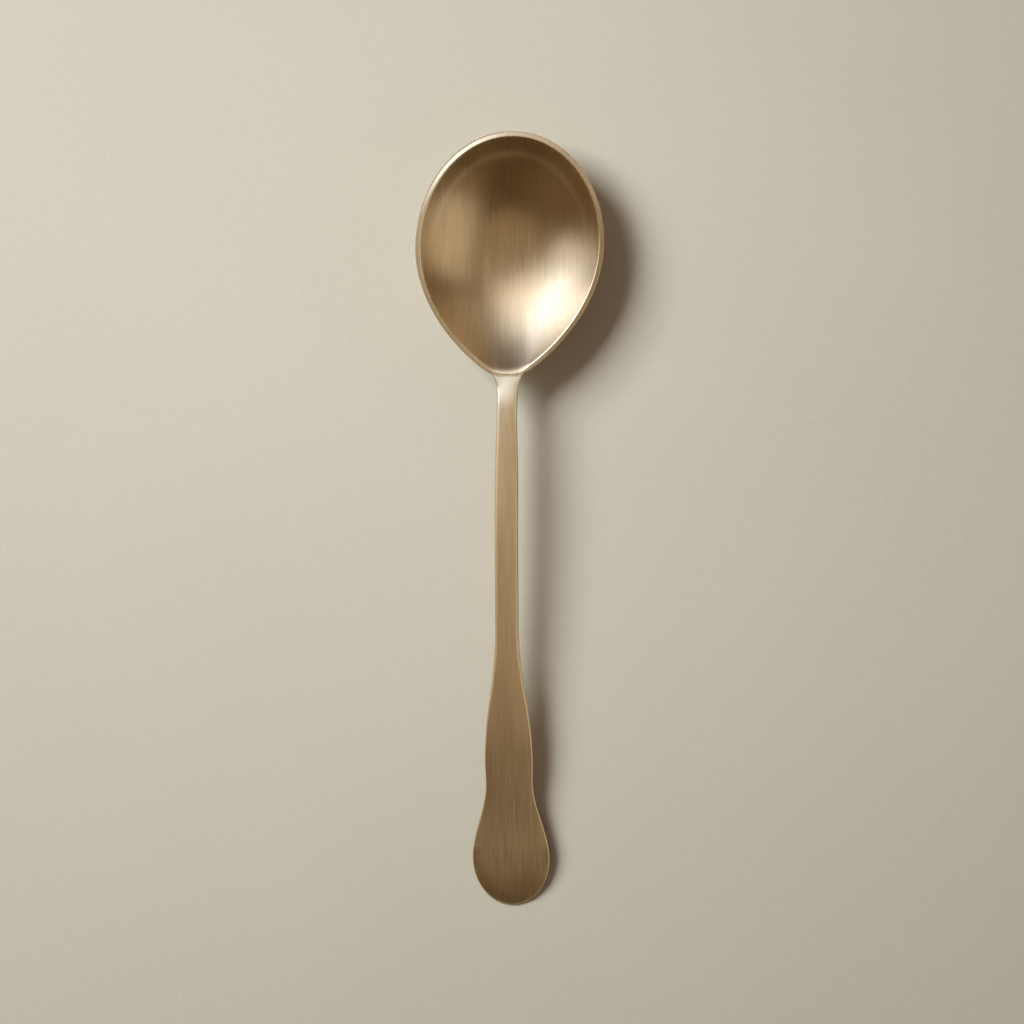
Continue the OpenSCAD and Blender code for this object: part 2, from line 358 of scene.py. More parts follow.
@named
class SPOON_PG_stage(bpy.types.PropertyGroup):
    """Floor, lights and camera."""

    floor: colour("Colour of the floor", (0.63, 0.625, 0.525))
    # Painted light: the floor's colour is palest here and darker away from it
    floor_y: length("Where along the spoon the floor is palest", 50)
    key_size: length("Width of the large soft light", 750)
    key_distance: length("From the spoon to that light", 1500)
    key_height: angle("Height of that light above the floor", 40)
    key_turn: angle("Turn of that light from +X towards +Y", 146)
    key_level: amount("Light on the floor from that light", 0.8)
    fill: colour("Light on the floor from the surroundings", (0.205, 0.14, 0.112))
    room: colour("Radiance of the room that the metal mirrors", (0.092, 0.063, 0.031))
    lens: length("Focal length of the camera", 85)
    sensor: length("Width of the camera's square sensor", 24.19)
    camera_x: length("Place of the camera across the spoon", 0.75)
    camera_y: length("Place of the camera along the spoon", 2.53)
    camera_z: length("Height of the camera above the floor", 1123)


def towards(turn, height):
    """The direction at a turn from +X towards +Y and a height above the floor."""
    level = math.cos(height)
    return Vector((math.cos(turn) * level, math.sin(turn) * level, math.sin(height)))


def between(low, high, part):
    """The value at a share of the way from one value to another."""
    return low + (high - low) * part


def eased_min(a, b, ease):
    """The smaller of two lengths, with the corner between them eased by a soft maximum."""
    return b - ease * np.logaddexp(0, (b - a) / ease)


def smooth_step(value):
    """Nought below 0 and one above 1, with a cubic that is level at both ends between them."""
    part = np.clip(value, 0, 1)
    return part * part * (3 - 2 * part)


def along(rows, place):
    """Values of a table whose rows are place, value and slope: a cubic from each row to the next."""
    places, values, slopes = np.array(rows, float).T
    i = np.searchsorted(places[1:-1], place, side="left")
    run = places[i + 1] - places[i]
    s = (place - places[i]) / run
    level = values[i] * (1 + 2 * s) * (1 - s) ** 2 + values[i + 1] * s * s * (3 - 2 * s)
    return level + run * s * (1 - s) * (slopes[i] * (1 - s) - slopes[i + 1] * s)


def bell(value):
    """A bell curve that is one at nought: the exponential of less the square."""
    return np.exp(-(value**2))


def rounding(start, first, second, end):
    """Rows of points of a cubic Bezier curve, its ends left out."""
    t = np.linspace(0, 1, EDGE_ROWS + 2)[1:-1].reshape((-1,) + (1,) * start.ndim)
    keep = 1 - t
    return keep**3 * start + 3 * keep**2 * t * first + 3 * keep * t**2 * second + t**3 * end


def corner_drop(inset, radius):
    """How far a rounded edge has dropped at an inset from it: a quarter circle, then nought."""
    reach = radius - np.minimum(inset, radius)
    return radius - np.sqrt(np.maximum(radius**2 - reach**2, 0))


class BowlForm:
    """The bowl as a function of a share of the way out from its centre and a turn about it."""

    def __init__(self, bowl):
        self.sizes = bowl
        self.half_l = SOLID_BOX[1].y
        self.centre_y = self.half_l - bowl.front
        self.stop = bowl.neck - bowl.neck_cut
        self.rim_h = bowl.depth + bowl.wall
        self.root_y = self.centre_y - self.stop

    def bowed(self, points):
        """Points moved sideways by the spoon's bow: the square of the place along it."""
        rise = (points[..., 1] / self.half_l) ** 2 - (self.centre_y / self.half_l) ** 2
        moved = points.copy()
        moved[..., 0] += self.sizes.side_bow * rise
        return moved

    def outline(self, turn, inset):
        """Half an ellipse in front, and behind it a power of the cosine with its end cut off square."""
        cos, sin = np.cos(turn), np.sin(turn)
        half_w = self.sizes.width / 2 - inset
        neck = self.sizes.neck - inset * NECK_LAND_SHARE
        sides = np.sign(cos) * np.abs(cos) ** SIDE_POWER
        end = -eased_min(-neck * sin, self.stop - inset, CORNER_SHARE * self.sizes.neck_cut)
        x = half_w * np.where(sin >= 0, cos, sides)
        y = np.where(sin >= 0, (self.sizes.front - inset) * sin, end)
        return x, y

    def rim(self, y):
        """Height of the rim: level in front, and a parabola down to the neck."""
        return self.rim_h - self.sizes.dip * (np.minimum(y, 0) / self.stop) ** 2

    def point(self, part, turn, inset, drop, base):
        """Ring of the bowl: an oval that takes the outline's shape further out, and a height that is a
        power of the way out."""
        cos, sin = np.cos(turn), np.sin(turn)
        out_x, out_y = self.outline(turn, inset)
        neck = (self.sizes.neck - inset * NECK_LAND_SHARE) * OVAL_NECK_SHARE
        oval_x = (self.sizes.width / 2 - inset) * cos
        oval_y = np.where(sin >= 0, self.sizes.front - inset, neck) * sin
        mix = part**SHAPE_POWER
        x = part * between(oval_x, out_x, mix)
        y = part * between(oval_y, out_y, mix)
        z = between(base, self.rim(out_y) - drop, part**BOWL_POWER)
        return np.stack(np.broadcast_arrays(x, self.centre_y + y, z), axis=-1)

    def outside(self, part, turn):
        """Ring of the outside, before its foot is ground flat."""
        return self.point(part, turn, 0, self.sizes.ease, -self.sizes.foot_cut)

    def land_width(self, turn):
        """Width of the land, which grows towards the tip."""
        return self.sizes.land + self.sizes.land_gain * np.maximum(np.sin(turn), 0)

    def lean(self, turn):
        """Slope at which the land falls outwards: most left of the tip, and upwards at the neck."""
        sizes, front, back = self.sizes, np.maximum(np.sin(turn), 0), np.minimum(np.sin(turn), 0)
        left = np.where((front > 0) & (np.cos(turn) < 0), np.abs(np.sin(2 * turn)) ** LEFT_LEAN_POWER, 0)
        steeper = sizes.tip_lean * front + sizes.left_lean * left
        return sizes.side_lean + steeper - sizes.neck_lean * back**2

    def fall(self, turn):
        """How far the land falls from its inner to its outer edge."""
        return self.lean(turn) * self.land_width(turn)

    def inner_drop(self, turn):
        """How far the land's inner edge lies below the rim where the land rises outwards."""
        return np.maximum(-self.fall(turn), 0)

    def land(self, inset, turn):
        """Ring on the rim's land."""
        fall = self.fall(turn)
        outer_part = 1 - inset / self.land_width(turn)
        drop = np.maximum(fall, 0) * outer_part + self.inner_drop(turn) * (1 - outer_part)
        return self.point(np.ones_like(turn), turn, inset, drop, 0)

    def even_turns(self, count):
        """Turns at which steps along the outline cover equal sums of its length and its turning."""
        fine = np.linspace(0, 2 * math.pi, FINE_STEPS + 1)
        x, y = self.outline(fine, 0)
        run = np.cumsum(np.hypot(np.diff(x), np.diff(y)))
        heading = np.unwrap(np.arctan2(np.diff(y), np.diff(x)))
        turned = np.cumsum(np.abs(np.diff(heading, prepend=heading[0])))
        measure = run / run[-1] + TURNING_SHARE * turned / turned[-1]
        wanted = np.arange(count) / count * measure[-1]
        return np.interp(wanted, np.concatenate([[0], measure]), fine)

    def underside(self, x, part, lower):
        """Points below the outside near the neck, at x and a share of the way out. Halving finds the
        turn."""
        x, part, lower = np.broadcast_arrays(x, part, lower)
        low, high = np.zeros(x.shape), np.ones(x.shape)
        mix = part**SHAPE_POWER
        for _ in range(SOLVE_STEPS):
            middle = (low + high) / 2
            reach = part * self.sizes.width / 2 * between(middle, middle**SIDE_POWER, mix)
            over = reach > np.abs(x)
            high = np.where(over, middle, high)
            low = np.where(over, low, middle)
        points = self.outside(part, NECK_TURN + np.sign(x) * np.arcsin(low))
        points[..., 2] -= lower
        return self.bowed(points)


class HandleForm:
    """The handle's outline and heights at a distance behind the bowl."""

    def __init__(self, handle, joint, form):
        self.sizes, self.joint, self.bowl = handle, joint, form
        self.length = form.root_y + form.half_l
        self.paddle_d = self.length - handle.tip_l
        waist_d = self.paddle_d - handle.paddle_l
        self.shoulder_d = shoulder_d = waist_d - handle.waist_l
        swell_d = shoulder_d - handle.shoulder_l
        self.shank_d = shank_d = swell_d - handle.rise_l
        full_d = handle.neck_l + handle.taper_l
        neck_h = form.rim_h - form.sizes.dip
        deck_h = neck_h + handle.deck_rise
        root_h = neck_h - joint.root_step
        self.outline_rows = [
            [0, handle.neck_w / 2, 0],
            [handle.neck_l, handle.neck_w / 2, 0],
            [full_d, handle.shank_w / 2, 0],
            [shank_d, handle.shank_w / 2, 0],
            [swell_d, handle.swell_w / 2, SWELL_SLOPE],
            [shoulder_d, handle.shoulder_w / 2, 0],
            [waist_d, handle.waist_w / 2, 0],
            [self.paddle_d, handle.paddle_w / 2, 0],
        ]
        self.crest_rows = [
            [0, root_h, ROOT_SLOPE],
            [handle.bend_l, deck_h - handle.bend_h, BEND_SLOPE],
            [handle.settle_l, deck_h, 0],
            [handle.level_l, deck_h, 0],
            [shoulder_d, handle.shoulder_h, SHOULDER_SLOPE],
            [self.paddle_d, handle.paddle_h, PADDLE_SLOPE],
            [self.length, handle.tip_t * (1 - TIP_SINK_SHARE), TIP_SLOPE],
        ]
        self.thickness_rows = [
            [0, handle.neck_t, 0],
            [full_d, handle.shank_t, 0],
            [shank_d, handle.shank_t, 0],
            [self.paddle_d, handle.paddle_t, 0],
            [self.length, handle.tip_t, 0],
        ]

    def half_width(self, d):
        """Half width: cubics with a flare that dies away from the bowl, and an ellipse at the end."""
        flare = (self.sizes.root_w - self.sizes.neck_w) / 2 * np.exp(-d / self.sizes.flare_l)
        sides = along(self.outline_rows, np.minimum(d, self.paddle_d)) + flare
        past = np.maximum(d - self.paddle_d, 0) / self.sizes.tip_l
        return np.where(past > 0, self.sizes.paddle_w / 2 * np.sqrt(np.maximum(1 - past**2, 0)), sides)

    def widening(self, d):
        """Change of the half width along the handle, from a small step both ways."""
        low = np.maximum(d - SLOPE_STEP, 0)
        high = np.minimum(d + SLOPE_STEP, self.length)
        return (self.half_width(high) - self.half_width(low)) / (high - low)

    def inset(self, x, d):
        """Distance from the outline: straight across the sides, and at the end one less the ellipse's
        function, over the length of its gradient."""
        sides = (self.half_width(d) - np.abs(x)) / np.hypot(1, self.widening(d))
        half_w, tip_l = self.sizes.paddle_w / 2, self.sizes.tip_l
        past = np.maximum(d - self.paddle_d, 0)
        value = np.hypot(x / half_w, past / tip_l)
        slope = np.hypot(x / half_w**2, past / tip_l**2) / np.maximum(value, 1e-9)
        return np.where(past > 0, (1 - value) / np.maximum(slope, 1e-9), sides)

    def swell_part(self, d):
        """A smooth step from the end of the shank to the shoulder."""
        return smooth_step((d - self.shank_d) / (self.shoulder_d - self.shank_d))

    def edge_radius(self, d):
        """Radius of the long edges: full along the shank, and less from the shoulder on."""
        return between(self.sizes.edge_r, self.sizes.paddle_edge_r, self.swell_part(d))

    def crest(self, d):
        """Height of the top's middle: the mean of three places, apart by a bell curve about the bend at
        the paddle's widest place."""
        ease = self.sizes.ease_l * bell((d - self.paddle_d) / self.sizes.tip_l)
        ease = np.minimum(ease, self.length - d)
        return sum(along(self.crest_rows, d + side * ease) for side in (-1, 0, 1)) / 3

    def roll(self, inset, d):
        """How far the top has rolled down near its edge: a parabola, faded in round the paddle's end."""
        near = np.maximum(1 - inset / self.sizes.roll_w, 0)
        shown = smooth_step((d - self.paddle_d + self.sizes.tip_l / 4) / (self.sizes.tip_l / 2))
        return self.sizes.roll_h * near**2 * shown

    def edge_curve(self, part, d):
        """How far the bowl's edge curves back from the root at a share of its half width, dying away."""
        x = part * self.sizes.root_w / 2
        back = self.bowl.underside(x, np.ones_like(x), np.zeros_like(x))[..., 1] - self.bowl.root_y
        return back * np.exp(-d / self.sizes.flare_l)

    def tongue_half(self, t):
        """Half width of the tongue at a share of its length: a cubic taper with a blunt end."""
        taper = between(self.joint.tongue_w / 2, self.sizes.root_w / 2, (1 - t) ** 3)
        return taper * np.sqrt(1 - TONGUE_END_SHARE * t**TONGUE_END_POWER)

    def tongue_depth(self, t):
        """Thickness of the tongue at a share of its length."""
        return between(self.sizes.neck_t, self.joint.tongue_t, t)

    def tongue_part(self, t):
        """Share of the way out from the bowl's centre at a share of the tongue's length."""
        return 1 - t * self.joint.tongue_l / self.bowl.stop

    def belly(self, part, t):
        """Depth of the tongue's section across it, as a share: half an ellipse on straight sides."""
        side = between(ROOT_SIDE_SHARE, TONGUE_SIDE_SHARE, t)
        return between(side, 1, np.sqrt(np.maximum(1 - part**2, 0)))

    def columns(self, half_w, radius):
        """Places across a section: close together over the rounded edges, which take no more than half of
        either side, and even between them."""
        corner = np.linspace(0, math.pi / 2, CORNER_COLUMNS + 1)
        wanted = radius * (1 - np.cos(corner))
        most = half_w / 2 * corner / corner[-1]
        left = -half_w + np.minimum(wanted, most)
        flat = np.linspace(0, 1, FLAT_COLUMNS + 2)[1:-1]
        middle = between(left[:, -1:], -left[:, -1:], flat)
        return np.concatenate([left, middle, -left[:, ::-1]], axis=1)

    def tongue_rings(self, t):
        """Sections of the tongue, which follow the bowl's underside one film of brazing below it."""
        half_w = self.tongue_half(t)
        radius = self.sizes.edge_r * ROOT_EDGE_SHARE * np.ones_like(t)
        x = self.columns(half_w, radius)
        part = self.tongue_part(t)
        drop = corner_drop(half_w - np.abs(x), radius)
        depth = self.tongue_depth(t) * self.belly(x / half_w, t)
        return ring_of(*(self.bowl.underside(x, part, self.joint.film + low) for low in (drop, depth)))

    def handle_rings(self, d):
        """Sections of the handle: a low parabola between rounded edges on top, and a flat underside with
        rounded edges. Near the bowl they take the tongue's shape."""
        half_w = self.half_width(d)
        shown = smooth_step(d / (2 * self.sizes.flare_l))
        full_radius = self.edge_radius(d)
        radius = full_radius * between(ROOT_EDGE_SHARE, 1, shown)
        x = self.columns(half_w, radius * np.hypot(1, self.widening(d)))
        inset = self.inset(x, d)
        thickness = along(self.thickness_rows, d)
        crown = self.sizes.crown * shown * (x / np.maximum(half_w, self.sizes.tip_t)) ** 2
        crest = self.crest(d)
        top_z = crest - crown - corner_drop(inset, radius) - self.roll(inset, d)
        round_z = crest - thickness + corner_drop(inset, full_radius)
        belly_z = crest - thickness * self.belly(x / half_w, 0)
        base_z = np.maximum(between(belly_z, round_z, shown), 0)
        y = self.bowl.root_y - d + self.edge_curve(x / half_w, d)
        return self.bowl.bowed(ring_of(*(np.stack([x, y, z], axis=-1) for z in (top_z, base_z))))


def handle_form(scene):
    """The handle's form, and with it the bowl's, from the scene's settings."""
    return HandleForm(scene.spoon_handle, scene.spoon_joint, BowlForm(scene.spoon_bowl))


def ring_of(top, base):
    """Closed rings from a top and a base that run from left to right: they start at the base's middle."""
    half = base.shape[1] // 2
    left, right = base[:, :half][:, ::-1], base[:, half:][:, ::-1]
    return np.concatenate([left, top, right], axis=1)


def new_object(name, data):
    """A new object in the scene, with its mesh, light or camera."""
    made = bpy.data.objects.new(name, data)
    bpy.context.scene.collection.objects.link(made)
    return made


def face_corners(here, there, first, last):
    """Values at the corners of all faces: of quads between each ring and the next, with there one column on
    from here, and then of the triangles round the first and the last point."""
    quads = np.stack([here[:-1], here[1:], there[1:], there[:-1]], axis=2)
    start = np.stack([np.broadcast_to(first, here[0].shape), here[0], there[0]], axis=1)
    end = np.stack([np.broadcast_to(last, here[0].shape), there[-1], here[-1]], axis=1)
    return np.concatenate([quads.ravel(), start.ravel(), end.ravel()])


def skin(name, rings, start, end, pattern, **marks):
    """A closed skin over rings of equal length, with a middle point at each end. pattern has the places of
    the brushing, one column wider than the rings, and marks are attributes."""
    rows, count = rings.shape[:2]
    points = np.concatenate([rings.reshape(-1, 3), start[None], end[None]])
    ring = np.arange(rows * count).reshape(rows, count, 1)
    corners = face_corners(ring, np.roll(ring, -1, axis=1), rows * count, rows * count + 1)
    places = face_corners(pattern[:, :-1], pattern[:, 1:], pattern[0].mean(0), pattern[-1].mean(0))
    sizes = np.repeat([4, 3], [(rows - 1) * count, 2 * count])
    mesh = bpy.data.meshes.new(name)
    mesh.vertices.add(len(points))
    mesh.vertices.foreach_set("co", points.astype(np.float32).ravel())
    mesh.loops.add(len(corners))
    mesh.loops.foreach_set("vertex_index", corners.astype(np.int32))
    mesh.polygons.add(len(sizes))
    mesh.polygons.foreach_set("loop_start", (np.cumsum(sizes) - sizes).astype(np.int32))
    mesh.polygons.foreach_set("use_smooth", np.ones(len(sizes), bool))
    mesh.uv_layers.new(name=BRUSHING).data.foreach_set("uv", places.astype(np.float32))
    for mark, values in marks.items():
        layer = mesh.attributes.new(mark, "FLOAT", "POINT")
        padded = np.concatenate([values.ravel(), [values[0].mean(), values[-1].mean()]])
        layer.data.foreach_set("value", padded.astype(np.float32))
    mesh.update(calc_edges=True)
    mesh.validate(clean_customdata=False)
    return new_object(name, mesh)


def flat_pattern(rings):
    """Places of the brushing seen from above, for a piece that is brushed along the spoon."""
    return np.concatenate([rings, rings[:, :1]], axis=1)[..., :2]


def wrapped_pattern(rings):
    """Places of the brushing round each ring: the way along it, counted from the middle of its top."""
    wrapped = np.concatenate([rings, rings[:, :1]], axis=1)
    steps = np.linalg.norm(np.diff(wrapped, axis=1), axis=-1)
    way = np.pad(np.cumsum(steps, axis=1), ((0, 0), (1, 0)))
    return np.stack([way - way[:, -1:] / 2, wrapped[..., 1]], axis=-1)


def place_on_body(piece, node, material):
    """Gives a finished piece its material and its body, and hides the solid that it stands for."""
    piece.data.materials.append(material)
    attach(piece, BODY)
    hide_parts(node)


class NodeBoard:
    """Adds shader nodes and links to the node tree of a material or a world."""

    def __init__(self, owner):
        owner.use_nodes = True
        self.tree = owner.node_tree
        self.tree.nodes.clear()

    def add(self, kind, inputs=None, **settings):
        """One node with its settings, its constants and its links. A socket in inputs makes a link."""
        node = self.tree.nodes.new("ShaderNode" + kind)
        for key, value in settings.items():
            setattr(node, key, value)
        for key, value in (inputs or {}).items():
            if isinstance(value, bpy.types.NodeSocket):
                self.tree.links.new(value, node.inputs[key])
            else:
                node.inputs[key].default_value = value
        return node

    def maths(self, operation, *values):
        """The result of one Math node."""
        return self.add("Math", dict(enumerate(values)), operation=operation).outputs[0]

    def vector(self, operation, *values):
        """The outputs of one Vector Math node."""
        return self.add("VectorMath", dict(enumerate(values)), operation=operation).outputs

    def plus(self, value, *pairs):
        """A value, plus the product of each pair."""
        for first, second in pairs:
            value = self.maths("MULTIPLY_ADD", first, second, value)
        return value

    def mapped(self, value, low, high, to_low=0.0, to_high=1.0, way="LINEAR"):
        """A value carried from one range to another, and held at its ends."""
        node = self.add(
            "MapRange",
            {"Value": value, "From Min": low, "From Max": high, "To Min": to_low, "To Max": to_high},
            interpolation_type=way,
        )
        return node.outputs["Result"]

    def varied(self, noise, change, middle=1.0):
        """A value that noise takes as much above its middle as below it."""
        return self.mapped(noise, *NOISE_RANGE, middle - change, middle + change)

    def noise(self, places, scale, detail=2.0, turn=0.0, rough=0.55):
        """Noise on places that are stretched by a scale along each axis."""
        mapping = self.add("Mapping", {"Vector": places, "Scale": scale, "Rotation": (0, 0, turn)})
        inputs = {"Vector": mapping.outputs[0], "Scale": 1.0, "Detail": detail, "Roughness": rough}
        return self.add("TexNoise", inputs).outputs["Fac"]

    def scaled(self, tint, factor):
        """A colour made brighter or darker by a factor."""
        return self.add("VectorMath", {0: tint, "Scale": factor}, operation="SCALE").outputs[0]

    def mixed(self, part, first, second):
        """Two shaders mixed by the second one's part."""
        return self.add("MixShader", {0: part, 1: first.outputs[0], 2: second.outputs[0]})


def brushed_metal(name, tint, finish, roughness, stretch, pitting=0.0):
    """Brushed metal: noise makes fine lines and broader streaks along the brushing, a slow drift of the
    tone, burnished patches on edges, a few scratches across, and pits in brazing. Dressed metal is
    smoother, and paler as a painted highlight; metal with painted shade is darker."""
    material = bpy.data.materials.new(name)
    board = NodeBoard(material)
    brushing = board.add("UVMap", uv_map=BRUSHING).outputs["UV"]
    place = board.add("TexCoord").outputs["Object"]
    edge, cross_marks, dressed, painted_shade = (
        board.add("Attribute", attribute_name=mark).outputs["Fac"] for mark in MARKS
    )
    across, run = 1 / finish.line_pitch, 1 / finish.line_length
    wide, long = STREAK_SHARES
    lines = board.noise(brushing, (across, run, 1), detail=4.0, rough=0.7)
    streaks = board.noise(brushing, (across * wide, run * long, 1))
    drift = board.noise(place, DRIFT_SCALE)
    patches = board.noise(place, PATCH_SCALE, detail=3.0)
    scratches = board.noise(brushing, SCRATCH_SCALE, detail=0.0, turn=SCRATCH_TURN)
    crossing = board.noise(brushing, CROSS_SCALE)
    scratch = board.mapped(scratches, *SCRATCH_RANGE)
    cross = board.maths("MULTIPLY", cross_marks, board.mapped(crossing, *CROSS_RANGE))
    pits = board.mapped(patches, *PIT_RANGE, pitting, 0.0)
    wear = board.mapped(patches, *BURNISH_RANGE, BURNISH_LEAST_SHARE * finish.wear, finish.wear)
    burnish = board.maths("MULTIPLY", edge, wear)
    tone = board.varied(lines, finish.streak)
    for slow, change in ((streaks, finish.streak * SLOW_STREAK_SHARE), (drift, finish.patina)):
        tone = board.maths("MULTIPLY", tone, board.varied(slow, change))
    # Painted shade: the handle's painted shade lowers the tone
    tone = board.plus(tone, (burnish, BURNISH_TONE), (painted_shade, -finish.touch))
    tone = board.plus(tone, (cross, CROSS_TONE), (pits, PIT_TONE))
    rough = board.varied(streaks, STREAK_ROUGHNESS, roughness)
    rough = board.maths("ADD", rough, board.varied(drift, DRIFT_ROUGHNESS, 0.0))
    rough = board.plus(rough, (dressed, finish.dressed_roughness - roughness))
    rough = board.plus(rough, (burnish, BURNISH_ROUGHNESS), (pits, PIT_ROUGHNESS))
    height = board.plus(lines, (scratch, SCRATCH_HEIGHT), (cross, CROSS_HEIGHT), (pits, PIT_HEIGHT))
    bump = board.add("Bump", {"Distance": finish.line_depth, "Height": height})
    tangent = board.add("Tangent", direction_type="UV_MAP", uv_map=BRUSHING)
    # Painted highlight: dressed places are mixed towards a paler colour
    paler = tuple(pale - plain for pale, plain in zip(finish.dressed_brass, tint))
    metal = board.vector("MULTIPLY_ADD", paler, dressed, tint)[0]
    shader = board.add(
        "BsdfPrincipled",
        {
            "Base Color": board.scaled(metal, tone),
            "Metallic": 1.0,
            "Roughness": rough,
            "Anisotropic": stretch,
            "Normal": bump.outputs["Normal"],
            "Tangent": tangent.outputs["Tangent"],
        },
    )
    board.add("OutputMaterial", {"Surface": shader.outputs["BSDF"]})
    return material


class SPOON_OT_bowl(bpy.types.Operator):
    """Build the pressed bowl with its rounded rim."""

    bl_idname = "spoon.bowl"
    bl_label = "Bowl"

    def execute(self, context):
        sizes = context.scene.spoon_bowl
        form = BowlForm(sizes)
        turn = form.even_turns(BOWL_TURNS)[None]
        near_neck = smooth_step((-np.sin(turn) - NECK_SOFT_START) / NECK_SOFT_RUN)
        soft = between(sizes.ease, sizes.soft, near_neck)
        land_w = form.land_width(turn)
        inner_parts = np.linspace(0, 1, WALL_ROWS + 1)[1:, None] * (1 - soft / sizes.front)
        inner_drop = sizes.ease + form.inner_drop(turn)
        inside = form.point(inner_parts, turn, land_w, inner_drop, sizes.wall)
        rise = form.rim(form.outline(turn, 0)[1]) - sizes.ease + sizes.foot_cut
        foot = (sizes.foot_cut / rise) ** (1 / BOWL_POWER)
        outer_start = 1 - EDGE_START_SHARE * sizes.ease / sizes.front
        outside = form.outside(between(outer_start, foot, np.linspace(0, 1, WALL_ROWS)[:, None]), turn)
        foot_flat = form.outside(foot * np.linspace(1, 0, FOOT_ROWS + 1)[1:-1, None], turn)
        land_start = np.minimum(land_w - 2 * sizes.ease, land_w - soft)
        land_places = between(land_start, 2 * sizes.ease, np.linspace(0, 1, LAND_ROWS)[:, None])
        land = form.land(land_places, np.broadcast_to(turn, (LAND_ROWS, turn.size)))
        whole = np.ones_like(turn)
        brink = form.point(whole, turn, land_w, inner_drop, sizes.wall)[0]
        eased = form.land(between(land_w, land_start, 0.5), turn)[0]
        inner_edge = rounding(inside[-1], brink, eased, land[0])
        over = form.land(-EDGE_OVER_SHARE * sizes.ease, turn)[0]
        brink = between(outside[0], form.outside(whole, turn)[0], EDGE_REACH_SHARE)
        outer_edge = rounding(land[-1], over, brink, outside[0])
        rings = np.concatenate([inside, inner_edge, land, outer_edge, outside, foot_flat])
        rings[..., 2] = np.maximum(rings[..., 2], 0)
        rings = form.bowed(rings)
        rows = np.arange(len(rings))[:, None]
        inner_row = WALL_ROWS + EDGE_ROWS / 2
        outer_row = inner_row + EDGE_ROWS + LAND_ROWS
        worn = sum(bell((rows - row) / EDGE_ROWS * 2) for row in (inner_row, outer_row)) * (1 - near_neck)
        finish = context.scene.spoon_finish
        # Painted highlight on the rim's land: paler, more on the left and less across the neck
        ground = finish.ground - finish.ground_side * np.cos(turn)
        ground = between(ground, finish.ground_neck, near_neck)
        dressed = ground * smooth_step((rows - WALL_ROWS) / EDGE_ROWS) * (rows < outer_row)
        # Painted reflection: a paler ring inside the bowl's front half
        ring = bell((inner_parts - PAINTED_ARC_SHARE) / PAINTED_ARC_WIDTH_SHARE)
        dressed[:WALL_ROWS] = finish.ring * ring * np.maximum(np.sin(turn), 0)
        start, end = np.array([[0, form.centre_y, sizes.wall], [0, form.centre_y, 0]])
        piece = skin("bowl_shell", rings, start, end, flat_pattern(rings), edge=worn, dressed=dressed)
        material = brushed_metal(
            "brushed brass bowl", finish.bowl_brass, finish, finish.bowl_roughness, finish.bowl_stretch
        )
        place_on_body(piece, "bowl", material)
        return {"FINISHED"}


class SPOON_OT_handle(bpy.types.Operator):
    """Build the forged handle with the tongue that laps under the bowl."""

    bl_idname = "spoon.handle"
    bl_label = "Handle"

    def execute(self, context):
        form = handle_form(context.scene)
        sizes, bowl = form.sizes, form.bowl
        finish = context.scene.spoon_finish
        t = np.linspace(1, 0, TONGUE_ROWS + 1)[:, None]
        root = sizes.neck_l * (np.arange(1, ROOT_ROWS + 1) / ROOT_ROWS) ** 2
        shank = between(sizes.neck_l, form.paddle_d, np.arange(1, SHANK_ROWS + 1) / SHANK_ROWS)
        turns = np.arange(1, TIP_ROWS) / TIP_ROWS * math.pi / 2
        tip = form.paddle_d + sizes.tip_l * np.sin(turns)
        d = np.concatenate([root, shank, tip])[:, None]
        rings = np.concatenate([form.tongue_rings(t), form.handle_rings(d)])
        radius = form.edge_radius(d)
        x = form.columns(form.half_width(d), radius)
        inset = np.minimum(form.half_width(d), form.inset(x, d))
        top_worn = bell(inset / sizes.paddle_edge_r)
        tongue = ((len(t), 0), (0, 0))
        worn = np.pad(ring_of(top_worn, top_worn), tongue)
        behind = bowl.root_y - rings[..., 1]
        ahead = (form.paddle_d - behind) / sizes.paddle_l
        beside = bell((ahead - CROSS_ALONG[0]) / CROSS_ALONG[1])
        left = smooth_step((-rings[..., 0] / sizes.paddle_w - CROSS_OVER[0]) / CROSS_OVER[1])
        # Painted highlight: the root near the bowl is paler, besides being dressed smoother
        dressed = bell(behind / form.joint.dressed_l)
        # Painted shade: darker from the shank towards the paddle's end and more at the very end, and on the
        # sides, most on the right, and underneath
        shade_start_d = between(form.shank_d, form.shoulder_d, SHADE_START_SHARE)
        painted_shade = smooth_step((behind - shade_start_d) / sizes.shoulder_l / 2)
        painted_shade = painted_shade + finish.end_touch * smooth_step((behind - form.paddle_d) / sizes.tip_l)
        swell = form.swell_part(d)
        shaded_share = between(np.where(x > 0, PAINTED_RIGHT_SIDE_SHARE, PAINTED_SIDE_SHARE), PAINTED_SIDE_SHARE, swell)
        shaded_part = between(np.where(x > 0, PAINTED_RIGHT_SIDE_PART, PAINTED_LEFT_SIDE_PART), 1, swell)
        top_side_shade = shaded_part * (1 - smooth_step(inset / radius / shaded_share))
        shaded = np.pad(ring_of(top_side_shade, np.ones_like(top_side_shade)), tongue, constant_values=1)
        painted_shade = np.maximum(painted_shade, finish.side_touch * shaded)
        marks = {"edge": worn, "cross_marks": beside * left, "dressed": dressed, "painted_shade": painted_shade}
        end = rings[-1].mean(0)
        end[1] = bowl.root_y - form.length
        piece = skin("handle_forging", rings, rings[0].mean(0), end, wrapped_pattern(rings), **marks)
        material = brushed_metal(
            "satin brass handle", finish.handle_brass, finish, finish.handle_roughness, finish.handle_stretch
        )
        place_on_body(piece, "handle", material)
        return {"FINISHED"}


